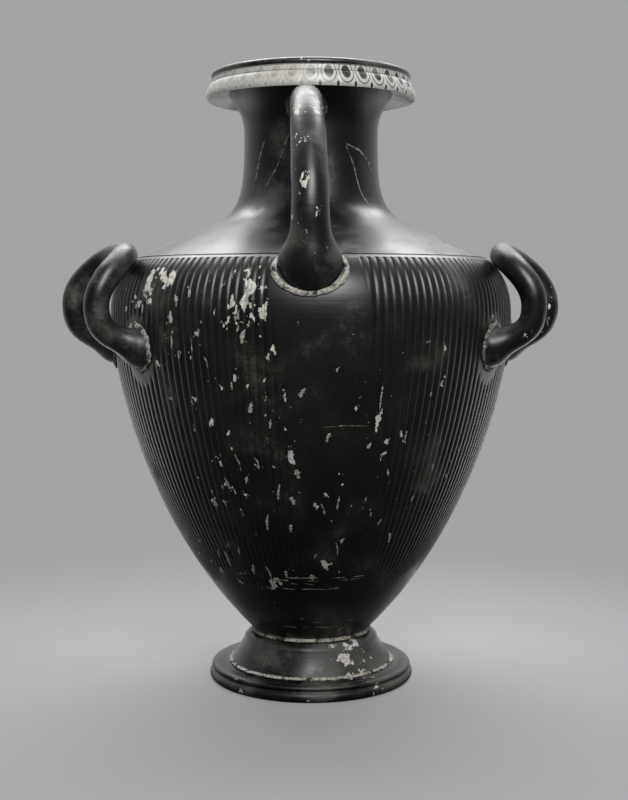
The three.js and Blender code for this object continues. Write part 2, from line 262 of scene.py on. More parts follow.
def turn(name, outline, columns, material, node, relief=None):
    points = []
    for column in range(columns):
        angle = 2 * math.pi * column / columns
        for r, z in outline:
            out = wobble(angle, z)
            if relief:
                out -= relief(angle, r, z)
            points.append(round_jar(r + out if r > 0 else 0, angle, z))
    count = len(outline)
    faces = []
    for column in range(columns):
        here, there = column * count, (column + 1) % columns * count
        for k in range(count):
            after = (k + 1) % count
            if outline[k][0] == 0 and outline[after][0] == 0:
                continue
            faces.append((here + k, there + k, there + after, here + after))
    piece = make_piece(name, points, faces, material, node)
    piece.modifiers.new("axis_weld", "WELD").merge_threshold = 1e-6
    print(name, "faces:", len(faces))


def inner_wall(wall, thickness):
    inner = []
    for k, p in enumerate(wall):
        along = (wall[min(k + 1, len(wall) - 1)] - wall[max(k - 1, 0)]).normalized()
        inner.append((p.x - along.y * thickness, p.y + along.x * thickness))
    return inner[::-1]


# %% [markdown]
# Noise and spots decide where a surface is worn. One helper makes noise whose grain is a real size
# in millimetres. One raises a value near given spots, each written as x, y, z, reach and strength.
# The rest are sums: a soft step, two values combined, and two colours mixed.

# %% Wear helpers
def near_spots(tree, position, spots):
    total = None
    for x, y, z, reach, strength in spots:
        offset = add_node(tree, "VectorMath", {1: (x * MM, y * MM, z * MM)}, {0: position},
                          operation="DISTANCE")
        near = add_node(tree, "MapRange", {"From Min": reach * MM, "From Max": 0.3 * reach * MM,
                                           "To Max": strength},
                        {"Value": offset.outputs["Value"]}, interpolation_type="SMOOTHSTEP")
        total = near.outputs[0] if total is None else combine(tree, "MAXIMUM", total, near.outputs[0])
    return total


def layer_noise(tree, position, size_mm, detail=4.0, stretch=(1, 1, 1), roughness=0.55):
    scaled = add_node(tree, "VectorMath", {1: stretch}, {0: position}, operation="MULTIPLY")
    return add_node(tree, "TexNoise", {"Scale": 1 / (size_mm * MM), "Detail": detail,
                                       "Roughness": roughness},
                    {"Vector": scaled.outputs[0]}).outputs[0]


def above(tree, value, low, high):
    return add_node(tree, "MapRange", {"From Min": low, "From Max": high},
                    {"Value": value}, interpolation_type="SMOOTHSTEP").outputs[0]


def combine(tree, operation, a, b=0):
    node = add_node(tree, "Math", operation=operation)
    for socket, value in ((0, a), (1, b)):
        if isinstance(value, (int, float)):
            node.inputs[socket].default_value = value
        else:
            tree.links.new(value, node.inputs[socket])
    return node.outputs[0]


def from_middle(tree, a, b):
    squares = [combine(tree, "MULTIPLY", side, side) for side in (a, b)]
    return combine(tree, "SQRT", combine(tree, "ADD", *squares))


def mix_colour(tree, factor, first, second):
    node = add_node(tree, "Mix", data_type="RGBA", clamp_factor=True)
    tree.links.new(factor, node.inputs[0])
    for socket, value in ((6, first), (7, second)):
        if isinstance(value, list):
            node.inputs[socket].default_value = value
        else:
            tree.links.new(value, node.inputs[socket])
    return node.outputs[2]


# %% [markdown]
# The finish is a slip of fine clay, brushed on and fired to a black gloss. It reflects like a thin
# glass, so its IOR is 1.5 and its roughness about 0.3 where it is whole. After centuries it is
# rubbed dull and grey in places, and has lost flakes that show the pale clay, which is matt. The
# material mixes these layers. Clouds of about 38 mm decide what is rubbed. Flakes are about 7 mm
# wide and drawn out upright, specks are under 3 mm, and the marks of the wheel are level streaks.

# %% Aged black gloss
def black_gloss(name, spots, loss=0.0, rubbed=0.0, upright_marks=1.0, pattern=None):
    material = empty_material(name)
    tree = material.node_tree
    position = add_node(tree, "TexCoord").outputs["Object"]
    cloud = layer_noise(tree, position, size_mm=38, detail=5)
    fine = layer_noise(tree, position, size_mm=2.2, detail=3)
    wheel = layer_noise(tree, position, size_mm=60, detail=3, stretch=(0.25, 0.25, 26))
    flake = layer_noise(tree, position, size_mm=7, stretch=(1, 1, 1 / (1 + 0.9 * upright_marks)),
                        roughness=0.6)
    speck = layer_noise(tree, position, size_mm=2.6, detail=2)

    colour = mix_colour(tree, above(tree, cloud, low=0.4, high=0.7), linear("#0d0d0b"), linear("#1d1c18"))
    rub_field = combine(tree, "ADD", cloud, combine(tree, "MULTIPLY", fine, 0.25))
    rub = above(tree, combine(tree, "ADD", rub_field, rubbed), low=0.68, high=0.95)
    colour = mix_colour(tree, combine(tree, "MULTIPLY", rub, 0.6), colour, linear("#5c5b56"))

    weak = near_spots(tree, position, spots)
    chip_field = combine(tree, "ADD", flake, combine(tree, "MULTIPLY", weak, 0.2))
    chips = above(tree, combine(tree, "ADD", chip_field, loss), low=0.735, high=0.755)
    speck_field = combine(tree, "ADD", speck, combine(tree, "MULTIPLY", weak, 0.1))
    specks = above(tree, speck_field, low=0.77, high=0.8)
    bare = combine(tree, "MAXIMUM", chips, combine(tree, "MULTIPLY", specks, 0.7))
    clay = mix_colour(tree, above(tree, fine, low=0.3, high=0.7), linear("#a09d94"), linear("#d6d3c9"))
    if pattern:
        colour = pattern(tree, position, colour, cloud, fine)
    colour = mix_colour(tree, bare, colour, clay)

    rough = combine(tree, "ADD", 0.3, combine(tree, "MULTIPLY", rub, 0.3))
    rough = combine(tree, "ADD", rough, combine(tree, "MULTIPLY", cloud, 0.12))
    rough = combine(tree, "ADD", rough, combine(tree, "MULTIPLY", bare, 0.4))
    relief = combine(tree, "ADD", combine(tree, "MULTIPLY", wheel, 0.5),
                     combine(tree, "MULTIPLY", fine, 0.12))
    relief = combine(tree, "SUBTRACT", relief, combine(tree, "MULTIPLY", bare, 0.9))
    bump = add_node(tree, "Bump", {"Strength": 0.35, "Distance": 0.4 * MM}, {"Height": relief})
    gloss = add_node(tree, "BsdfPrincipled", {"IOR": 1.5},
                     {"Base Color": colour, "Roughness": rough, "Normal": bump.outputs[0]})
    add_node(tree, "OutputMaterial", links={"Surface": gloss.outputs[0]})
    return material


# %% [markdown]
# The body has lost most at the left of the back handle's root, and less in a trail down its front.
# The shoulder and the neck are only rubbed, apart from one spot each.

# %% Glosses of body, shoulder and neck
body_spots = [(-40, -142, 283, 34, 1.0), (-104, -100, 300, 30, 0.95), (-118, -84, 280, 24, 0.6),
              (-50, -138, 300, 24, 0.8), (-10, -125, 188, 16, 0.9), (-7, -118, 163, 12, 0.9),
              (-20, -88, 92, 30, 0.6), (10, -92, 100, 18, 0.5), (-60, -120, 230, 18, 0.6),
              (-28, -140, 250, 16, 0.7), (46, -130, 210, 12, 0.5), (36, -110, 145, 16, 0.5),
              (-40, -120, 190, 110, 0.34), (40, -130, 220, 120, 0.22), (-66, -66, 100, 36, 0.5),
              (-90, -118, 262, 40, 0.5)]
body_gloss = black_gloss("ribbed_body_gloss", body_spots, loss=0.02)
shoulder_gloss = black_gloss("shoulder_gloss", [(-60, -110, 316, 16, 0.4)], loss=-0.03, rubbed=0.06,
                             upright_marks=0.0)
neck_gloss = black_gloss("neck_gloss", [(-30, -48, 355, 14, 0.4)], loss=-0.03, rubbed=0.05,
                         upright_marks=0.0)


# %% [markdown]
# The ribs are narrow rounded reeds with sharp grooves between them, cut with a tool into the
# leather-hard clay: 154 round, 5 to 6 mm apart where the body is wide, 1 mm deep. They run up to a
# turned line under the shoulder and fade out low on the body at uneven heights. They leave a
# smooth panel below the back handle, and smooth ground round the roots of the side handles.

# %% Where the ribs stop
RIBS, RIB_DEPTH, RIB_ROUNDNESS = 154, 1.0, 0.55
RIBS_FADE_LOW, RIBS_FADE_HIGH, RIBS_UNEVEN = 80, 98, 6
RIBS_STOP_LOW, RIBS_STOP_HIGH = 312.5, 314.0
PANEL = [(75, -2, 33), (150, -5, 24), (220, -7.8, 17.6), (290, -10.5, 15), (320, -11.4, 13.4)]
PANEL_EDGE = 1.5
RIGHT_TURN, LEFT_TURN = 16.5, 22
ARM, ROOT_SINK, ROOT_HEIGHT = 36, 2.4, 253.3
CLEAR_NEAR, CLEAR_FAR, CLEAR_FLATNESS, CLEAR_BELOW = 17, 22, 0.8, 2
FIRST_RIB, SCATTER = 200, 12.9898
SIDE_ROOTS = []
for turned_back, side in ((RIGHT_TURN, 1), (LEFT_TURN, -1)):
    for across in (-ARM, ARM):
        out = math.sqrt(BELLY[0][0] ** 2 - ARM ** 2) - ROOT_SINK
        angle = math.radians(90 - turned_back) + math.atan2(across, out)
        SIDE_ROOTS.append((side * angle, ROOT_HEIGHT))
print("rib spacing at the belly, mm:", round(2 * math.pi * BELLY[0][0] / RIBS, 1))


def smooth_step(value, low, high):
    share = min(max((value - low) / (high - low), 0), 1)
    return share * share * (3 - 2 * share)


def panel_edges(height):
    for low, high in zip(PANEL, PANEL[1:]):
        if low[0] <= height <= high[0]:
            share = (height - low[0]) / (high[0] - low[0])
            return [math.radians(low[k] + (high[k] - low[k]) * share) for k in (1, 2)]
    return [math.radians(PANEL[0][k]) for k in (1, 2)]


def rib_amount(angle, radius, height, phase):
    uneven = RIBS_UNEVEN * math.sin(int(phase + FIRST_RIB) * SCATTER)
    amount = smooth_step(height, RIBS_FADE_LOW + uneven, RIBS_FADE_HIGH + uneven)
    amount *= 1 - smooth_step(height, RIBS_STOP_LOW, RIBS_STOP_HIGH)
    left, right = panel_edges(height)
    inside = min(angle - left, right - angle) * radius
    amount *= 1 - smooth_step(inside, -PANEL_EDGE, PANEL_EDGE)
    for root_angle, root_height in SIDE_ROOTS:
        up = CLEAR_FLATNESS * (height - root_height + CLEAR_BELOW)
        apart = math.hypot((angle - root_angle) * radius, up)
        amount *= smooth_step(apart, CLEAR_NEAR, CLEAR_FAR)
    return amount


# %% [markdown]
# Turned lines circle the body under the shoulder and low down, and the smooth panel keeps faint
# scraped marks that fan out downwards from the back handle. All of it is pressed into the mesh, so
# the grooves hold at every angle of view.

# %% Ribs and lines
TURNED_LINES = [(314.9, 0.5, 0.5), (93, 0.2, 0.5), (88.5, 0.25, 0.5), (84, 0.2, 0.6),
                (58, 0.25, 0.6), (54.5, 0.3, 0.6), (50, 0.25, 0.5)]
FAN_LOW, FAN_TOP, FAN_HALF, FAN_DEPTH = 110, 268, 24, 0.3
FAN_STEP, FAN_OPENING, FAN_ASIDE, FAN_SHARPNESS = 3, 0.07, 2, 0.02


def fan_marks(angle, radius, height):
    aside = angle * radius - FAN_ASIDE
    if not FAN_LOW < height < FAN_TOP or abs(aside) >= FAN_HALF:
        return 0
    spread = (FAN_TOP - height) * FAN_OPENING + FAN_STEP
    mark = math.exp(-((aside / spread * 2.0 + 0.5) % 1 - 0.5) ** 2 / FAN_SHARPNESS)
    return FAN_DEPTH * mark * (1 - abs(aside) / FAN_HALF)


def rib_relief(angle, radius, height):
    if angle > math.pi:
        angle -= 2 * math.pi
    phase = angle * RIBS / (2 * math.pi)
    groove = 1 - abs(math.sin(math.pi * phase)) ** RIB_ROUNDNESS
    depth = RIB_DEPTH * groove * rib_amount(angle, radius, height, phase)
    for line, deep, wide in TURNED_LINES:
        depth += deep * math.exp(-((height - line) / wide) ** 2)
    return depth + fan_marks(angle, radius, height)


# %% [markdown]
# The rows of points are 3 mm apart on most of the body and close together at the line under the
# shoulder, because it is half a millimetre wide. Eight points span each rib. The inside is plain.

# %% Ribbed bowl
ROW_GAP, CLOSE_GAP, CLOSE_ROWS, CLOSE_FROM = 3.0, 0.35, 14, 311
BODY_THICK, INSIDE_FROM, FLOOR_TOP = 6, 50, 45.8
POINTS_PER_RIB = 8


def outer_rows(wall, gap):
    rows = []
    for low, high in zip(wall, wall[1:]):
        pieces = max(1, math.ceil((high - low).length / gap))
        rows += [tuple(low + (high - low) * k / pieces) for k in range(pieces)]
    return rows + [tuple(wall[-1])]


bowl_outline = [(0, BASE[0][1])] + [row for row in outer_rows(bowl_wall, ROW_GAP) if row[1] < CLOSE_FROM]
close_heights = [CLOSE_FROM + CLOSE_GAP * k for k in range(CLOSE_ROWS)]
bowl_outline += [(wall_radius(height), height) for height in close_heights]
bowl_outline += [p for p in inner_wall(bowl_wall, BODY_THICK) if p[1] > INSIDE_FROM][::4]
turn("ribbed_bowl_skin", bowl_outline + [(0, FLOOR_TOP)], RIBS * POINTS_PER_RIB, body_gloss,
     "ribbed_bowl", rib_relief)


# %% [markdown]
# Shoulder and neck are plain thrown walls. Their charm is in the soft sheen and in faint wheel
# marks, which the gloss material gives. So the mesh only needs the true curve.

# %% Shoulder and neck
SEAM_GAP_IN, SEAM_GAP_UP = 0.1, 0.15
SHOULDER_COLUMNS, NECK_COLUMNS = 192, 160
NECK_THICK, THROAT, NECK_INSIDE_TOP = 6.5, 53.9, 430
shoulder_outer = [tuple(p) for p in shoulder_wall]
shoulder_outer[0] = (shoulder_outer[0][0] - SEAM_GAP_IN, shoulder_outer[0][1] + SEAM_GAP_UP)
turn("shoulder_skin", shoulder_outer + inner_wall(shoulder_wall, BODY_THICK)[::3], SHOULDER_COLUMNS,
     shoulder_gloss, "shoulder")
neck_outer = [tuple(p) for p in neck_wall]
neck_inside = [p for p in inner_wall(neck_wall, NECK_THICK) if p[1] < NECK_INSIDE_TOP]
turn("neck_skin", neck_outer + [(THROAT, NECK_TOP[0][1])] + neck_inside[::3], NECK_COLUMNS, neck_gloss,
     "neck")


# %% [markdown]
# The mouth's face carries a row of eggs and darts, a common moulding of the time. It is painted in
# the gloss on pale clay, and worn. The pattern is drawn from the angle round the jar and the height
# on the face: a dark egg, a pale ring, a dark outline, and a dot between each two. Distances are
# measured in half an egg's width from its middle, so one value is 1 where two eggs meet.

# %% Ovolo band
EGGS = 38
FACE_LOW, FACE_HIGH = 431.9, 442.1
BAND_LOW, BAND_HIGH, RING_LINE = 431.4, 446.9, 442.9
FACE_RADIUS, LOW_FACE_RADIUS, LOW_FACE_TOP = 71.4, 76, 436.5
EGG_MIDDLE, EGG_HALF, DOT_HEIGHT, DOT_FLATNESS = 0.95, 0.9, 0.12, 0.9
PAINT = linear("#2a2926")


def ovolo_paint(tree, x, y, z):
    turns = combine(tree, "MULTIPLY", combine(tree, "ARCTAN2", y, x), EGGS / (2 * math.pi))
    aside = combine(tree, "DIVIDE", combine(tree, "SUBTRACT", combine(tree, "FRACT", turns), 0.5), 0.5)
    up = add_node(tree, "MapRange", {"From Min": FACE_LOW * MM, "From Max": FACE_HIGH * MM},
                  {"Value": z}, clamp=False).outputs[0]
    tall = combine(tree, "DIVIDE", combine(tree, "SUBTRACT", up, EGG_MIDDLE), EGG_HALF)
    egg = from_middle(tree, aside, tall)
    heart = above(tree, egg, low=0.56, high=0.46)
    outline = combine(tree, "MULTIPLY", above(tree, egg, low=0.78, high=0.81),
                      above(tree, egg, low=0.9, high=0.87))
    dot_aside = combine(tree, "SUBTRACT", 1, combine(tree, "ABSOLUTE", aside))
    dot_up = combine(tree, "MULTIPLY", combine(tree, "SUBTRACT", up, DOT_HEIGHT), DOT_FLATNESS)
    dot = above(tree, from_middle(tree, dot_aside, dot_up), low=0.2, high=0.13)
    return combine(tree, "MAXIMUM", combine(tree, "MAXIMUM", heart, outline), dot)


def ovolo_band(tree, x, y, z):
    radius = from_middle(tree, x, y)
    heights = combine(tree, "MULTIPLY", above(tree, z, (BAND_LOW - 0.2) * MM, (BAND_LOW + 0.2) * MM),
                      above(tree, z, (BAND_HIGH + 0.4) * MM, (BAND_HIGH - 0.4) * MM))
    low_face = combine(tree, "MAXIMUM",
                       above(tree, radius, (LOW_FACE_RADIUS - 0.2) * MM, (LOW_FACE_RADIUS + 0.2) * MM),
                       above(tree, z, (LOW_FACE_TOP - 0.1) * MM, (LOW_FACE_TOP + 0.1) * MM))
    face = combine(tree, "MULTIPLY", low_face,
                   above(tree, radius, (FACE_RADIUS - 0.2) * MM, (FACE_RADIUS + 0.2) * MM))
    return combine(tree, "MULTIPLY", heights, face)


def ovolo(tree, position, ground, cloud, fine):
    x, y, z = add_node(tree, "SeparateXYZ", links={0: position}).outputs
    left_wear = add_node(tree, "MapRange", {"From Min": 30 * MM, "From Max": -10 * MM, "To Max": 0.34},
                         {"Value": x}).outputs[0]
    wear = combine(tree, "ADD", cloud, combine(tree, "MULTIPLY", fine, 0.3))
    worn = above(tree, combine(tree, "ADD", wear, left_wear), low=0.72, high=0.98)
    kept = combine(tree, "SUBTRACT", 1, combine(tree, "MULTIPLY", worn, 0.75))
    dark = combine(tree, "MULTIPLY", ovolo_paint(tree, x, y, z), kept)
    line = combine(tree, "MULTIPLY", above(tree, z, (RING_LINE - 0.5) * MM, (RING_LINE - 0.2) * MM),
                   above(tree, z, (RING_LINE + 0.4) * MM, (RING_LINE + 0.1) * MM))
    pale = mix_colour(tree, fine, linear("#a3a19a"), linear("#d4d2ca"))
    face = mix_colour(tree, dark, pale, PAINT)
    face = mix_colour(tree, combine(tree, "MULTIPLY", line, 0.7), face, PAINT)
    return mix_colour(tree, ovolo_band(tree, x, y, z), ground, face)


mouth_spots = [(-5, -74, 450, 14, 0.9), (8, -74, 449, 10, 0.8), (60, -40, 450, 8, 0.5)]
mouth_gloss = black_gloss("mouth_gloss", mouth_spots, rubbed=0.08, upright_marks=0.0, pattern=ovolo)


# %% [markdown]
# The mouth's section runs from the neck out along the underside, up the convex face, over a groove
# and a narrow roll, and down the inside slope. The eggs stand out a third of a millimetre.

# %% Mouth
LIP_Z, POINTS_PER_EGG = 431.5, 12
EGG_RELIEF, EGG_ROUNDNESS, FACE_INNER = 0.35, 0.7, 70


def ellipse(centre, out, up, first, last, steps):
    points = []
    for k in range(steps + 1):
        angle = math.radians(first + (last - first) * k / steps)
        points.append((centre[0] + out * math.cos(angle), centre[1] + up * math.sin(angle)))
    return points


def egg_relief(angle, radius, height):
    if not FACE_LOW < height < FACE_HIGH or radius < FACE_INNER:
        return 0
    phase = ((angle - math.pi / 2) * EGGS / (2 * math.pi)) % 1
    return EGG_RELIEF * (1 - abs(math.sin(math.pi * phase)) ** EGG_ROUNDNESS)


mouth_outline = [(60.7, 436.2), (69.1, 434.6), (75.5, 431.8), (76.9, LIP_Z)]
mouth_outline += ellipse((73.2, LIP_Z), 4.6, 11, 8, 80, 14)
mouth_outline += [(72.9, 442.9), (72.8, 445.4)]
mouth_outline += ellipse((70.65, 448.55), 2.95, 2.95, -50, 90, 8)
mouth_outline += [(67.15, 451.5), (65.6, 450.6), (59.2, 445.4), (THROAT, 436.2)]
turn("mouth_ring_skin", mouth_outline, EGGS * POINTS_PER_EGG, mouth_gloss, "mouth_ring", egg_relief)


# %% [markdown]
# Where the jar was put together again, plaster and clay fill the joints. They are matt, with a
# roughness near 0.9, and their grit of about 2 mm is pale and dark. That lack of shine is what
# sets them off from the gloss.

# %% Plaster, dusty clay and the foot's gloss
def filler(name, light, dark, size_mm):
    material = empty_material(name)
    tree = material.node_tree
    position = add_node(tree, "TexCoord").outputs["Object"]
    grain = layer_noise(tree, position, size_mm, detail=5)
    stain = layer_noise(tree, position, size_mm=9, detail=3)
    colour = mix_colour(tree, above(tree, grain, low=0.35, high=0.65), linear(dark), linear(light))
    colour = mix_colour(tree, above(tree, stain, low=0.55, high=0.66), colour, linear("#302e2a"))
    bump = add_node(tree, "Bump", {"Strength": 0.6, "Distance": 0.6 * MM}, {"Height": grain})
    matt = add_node(tree, "BsdfPrincipled", {"Roughness": 0.9, "IOR": 1.45},
                    {"Base Color": colour, "Normal": bump.outputs[0]})
    add_node(tree, "OutputMaterial", links={"Surface": matt.outputs[0]})
    return material


plaster = filler("plaster_fill", "#b8b4aa", "#77736a", size_mm=1.6)
dusty_clay = filler("dusty_luting_clay", "#8d897f", "#3b3934", size_mm=2.2)
foot_spots = [(32, -42, 24, 30, 1.0), (45, -58, 4, 14, 0.8), (-50, -50, 8, 16, 0.6), (0, -76, 6, 20, 0.5)]
foot_gloss = black_gloss("foot_gloss", foot_spots, rubbed=0.14, upright_marks=0.0)


# %% [markdown]
# The foot is a moulded ring with two rolls, and a hollow stem with a round shoulder stands on it.
# A bed of filler lies under the stem and another over it. Filler squeezes out unevenly, so a noise
# with a grain of 4 mm makes its edge ragged. The bore of the upper bed stays round.

# %% Foot
FOOT_COLUMNS, PLATE_FILL_COLUMNS, BODY_FILL_COLUMNS = 192, 360, 300
RAGGED_FROM, RAGGED_IN, RAGGED_DEPTH, RAGGED_GRAIN = 40, 0.7, 1.1, 4
plate_outline = ellipse((73, 3.95), 4, 3.95, -90, 66, 10) + [(74.4, 7.9)]
plate_outline += ellipse((71.4, 10.2), 4, 2.3, -54, 90, 8)
plate_outline += [(67.7, 11.7), (64.7, 11.1), (62.0, 12.3), (50, 12.3), (50, 6.1), (58, 0)]
turn("foot_plate_skin", plate_outline, FOOT_COLUMNS, foot_gloss, "foot_plate")
stem_outline = [(60.6, 13.8)] + ellipse((44, 29), 7, 6, 0, 90, 10)
stem_outline += [(27, 35), (27, 26), (42, 24.5), (51.6, 13.8)]
turn("foot_stem_skin", stem_outline, FOOT_COLUMNS, foot_gloss, "foot_stem")


def ragged(angle, radius, height):
    if radius < RAGGED_FROM:
        return 0
    spot = (radius * math.sin(angle) / RAGGED_GRAIN, radius * math.cos(angle) / RAGGED_GRAIN, height)
    return RAGGED_IN + RAGGED_DEPTH * noise.noise(spot)


plate_fill = [(52, 12.6), (62.4, 12.4), (63.2, 13.1), (61.2, 14.3), (59.6, 14.4), (52, 13.5)]
turn("plate_fill_ring", plate_fill, PLATE_FILL_COLUMNS, plaster, "plate_joint_fill", ragged)
body_fill = [(29, 35.3), (44.6, 35.2), (46.2, 36.4), (45.4, 38.2), (43.6, 38.9), (29, 37.5)]
turn("body_fill_ring", body_fill, BODY_FILL_COLUMNS, plaster, "body_joint_fill", ragged)


# %% [markdown]
# A handle is a pulled rod of clay, bent while soft and pressed on with its ends flared. It is swept
# along a smooth line through a few knots. A knot is a place, a direction, and how far the line
# keeps to that direction before and after it.

# %% Sweeping a rod
ROD_WOBBLE, ROD_WOBBLE_LENGTH, ROD_DRAWN_IN = 0.35, 14, 0.2


def through(knots, steps=26):
    line = []
    for first, second in zip(knots, knots[1:]):
        a, d = Vector(first[0]), Vector(second[0])
        b = a + Vector(first[1]) * first[3]
        c = d - Vector(second[1]) * second[2]
        line += [curve_point(a, b, c, d, k / steps) for k in range(1 if line else 0, steps + 1)]
    return line


def sweep(name, line, radius_at, sides, material, node, spin=0.0):
    lengths = [0]
    for a, b in zip(line, line[1:]):
        lengths.append(lengths[-1] + (b - a).length)
    normal = Vector((1, 0.2, 0.1))
    points, faces = [], []
    for k, centre in enumerate(line):
        along = (line[min(k + 1, len(line) - 1)] - line[max(k - 1, 0)]).normalized()
        normal = (normal - along * normal.dot(along)).normalized()
        other = along.cross(normal)
        for side in range(sides):
            angle = 2 * math.pi * side / sides
            spoke = normal * math.cos(angle) + other * math.sin(angle)
            spot = centre + spoke * radius_at(lengths[k], lengths[-1])
            spot += spoke * (noise.noise(spot / ROD_WOBBLE_LENGTH) * ROD_WOBBLE - ROD_DRAWN_IN)
            points.append(spot)
    for k in range(len(line) - 1):
        here, there = k * sides, (k + 1) * sides
        for side in range(sides):
            after = (side + 1) % sides
            faces.append((here + side, here + after, there + after, there + side))
    faces += [tuple(reversed(range(sides))), tuple(range((len(line) - 1) * sides, len(line) * sides))]
    cosine, sine = math.cos(spin), math.sin(spin)
    turned = [Vector((p.x * cosine - p.y * sine, p.x * sine + p.y * cosine, p.z)) * MM for p in points]
    piece = make_piece(name, turned, faces, material, node)
    print(name, "length mm:", round(lengths[-1]))


def flared(start_radius, end_radius, start_flare, end_flare, start_reach, end_reach, start_in, end_in):
    def radius_at(along, total):
        plain = start_radius + (end_radius - start_radius) * along / total
        from_start = max(along - start_in, 0) / start_reach
        from_end = max(total - along - end_in, 0) / end_reach
        return plain + start_flare * math.exp(-from_start ** 2) + end_flare * math.exp(-from_end ** 2)
    return radius_at


# %% [markdown]
# The back handle rises from the body just under the shoulder, bends over below the mouth and runs
# into the neck. It thins upwards, and its root spreads most. Each side handle climbs out from the
# body, turns upright at an elbow, crosses over at the top and comes back down the same way. All
# ends run on into the wall, so no gap shows.

# %% Handles
HANDLE_TOP, HANDLE_ASIDE = 420.4, -3
BACK_KNOTS = [((0, -130, 302.8), (0, -0.6, 0.8), 0, 13),
              ((0, -143, 340.8), (0, 0, 1), 15, 31.8),
              ((HANDLE_ASIDE, -77.8, HANDLE_TOP), (0, 1, 0), 27.4, 12),
              ((HANDLE_ASIDE, -33.7, HANDLE_TOP - 4), (0, 0.98, -0.17), 12, 0)]
ROOT_OUT, ROOT_UP, ROOT_RUN = 133.4, 250.1, 29.7
ELBOW_OUT, ELBOW_UP, ELBOW_BELOW, ELBOW_ABOVE = 170.5, 281.3, 17.9, 20.2
BAR_OUT, BAR_UP = 143.5, 317.3
BACK_SIDES, SIDE_SIDES = 40, 36
SIDE_KNOTS = [((ROOT_OUT, -ARM, ROOT_UP), (0.934, 0, 0.358), 0, ROOT_RUN),
              ((ELBOW_OUT, -ARM, ELBOW_UP), (0, 0, 1), ELBOW_BELOW, ELBOW_ABOVE),
              ((BAR_OUT, 0, BAR_UP), (0, 1, 0), ARM, ARM),
              ((ELBOW_OUT, ARM, ELBOW_UP), (0, 0, -1), ELBOW_ABOVE, ELBOW_BELOW),
              ((ROOT_OUT, ARM, ROOT_UP), (-0.934, 0, -0.358), ROOT_RUN, 0)]
back_spots = [(-8, -152, 335, 34, 0.55), (8, -118, 412, 16, 0.95), (-10, -120, 408, 14, 0.95),
              (-9, -138, 385, 18, 0.75), (8, -140, 392, 10, 0.8), (-11, -147, 362, 18, 0.6)]
back_gloss = black_gloss("back_handle_gloss", back_spots, rubbed=0.07)
side_spots = [(168, -68, 262, 24, 0.8), (182, -10, 275, 34, 0.85), (150, -84, 262, 14, 0.9),
              (-170, -70, 290, 20, 0.45), (-138, -92, 268, 16, 0.9)]
side_gloss = black_gloss("side_handle_gloss", side_spots, loss=-0.005, rubbed=0.12)
back_radius = flared(start_radius=13, end_radius=10.8, start_flare=8.5, end_flare=2,
                     start_reach=14, end_reach=14, start_in=9, end_in=16)
side_radius = flared(start_radius=9, end_radius=9, start_flare=5, end_flare=5,
                     start_reach=9, end_reach=9, start_in=9, end_in=9)
sweep("back_handle_rod", through(BACK_KNOTS), back_radius, BACK_SIDES, back_gloss, "back_handle")
for side_name, spin in (("right", -RIGHT_TURN), ("left", 180 + LEFT_TURN)):
    sweep(f"{side_name}_handle_rod", through(SIDE_KNOTS), side_radius, SIDE_SIDES, side_gloss,
          f"{side_name}_handle", math.radians(spin))


# %% [markdown]
# A place on the wall can also be given by its distance along the profile, so that a mark keeps its
# size where the wall slants. One function finds that distance from a height, one finds the point
# and the outward direction there, and one puts a point on the round jar, a little off its surface.

# %% Places on the wall
arc_places = [0.0]
for low, high in zip(whole_wall, whole_wall[1:]):
    arc_places.append(arc_places[-1] + (high - low).length)
print("length of the profile, mm:", round(arc_places[-1]))


def wall_place(height):
    for k, (low, high) in enumerate(zip(whole_wall, whole_wall[1:])):
        if low.y <= height <= high.y:
            return arc_places[k] + (high - low).length * (height - low.y) / max(high.y - low.y, 1e-6)
    return arc_places[-1]


def wall_at(place):
    for k in range(len(whole_wall) - 1):
        if arc_places[k] <= place <= arc_places[k + 1]:
            share = (place - arc_places[k]) / (arc_places[k + 1] - arc_places[k])
            low, high = whole_wall[k], whole_wall[k + 1]
            along = (high - low).normalized()
            return low + (high - low) * share, Vector((along.y, -along.x))
    return whole_wall[-1], Vector((1, 0))


def on_wall(angle, place, height_above):
    spot, outward = wall_at(place)
    lifted = spot + outward * height_above
    return round_jar(lifted.x, angle, lifted.y)


# %% [markdown]
# Each handle was luted on with a smeared coil of clay, and later cracks there were filled. What
# shows is a thin ragged line round the root. It is laid on the wall: for each angle round the root
# a short rounded strip stands on the pot's surface, and noise makes it wander and thin out.

# %% Lutings
UNDER_ROD = 2.0
STRIPS, STRIP_POINTS = 120, 7
COIL_THICK, COIL_START, EDGE_SINK = 0.8, 0.12, 0.15
ROUGH_TURNS, JAG_TURNS, NOISE_LEVEL = 3, 14, 0.5


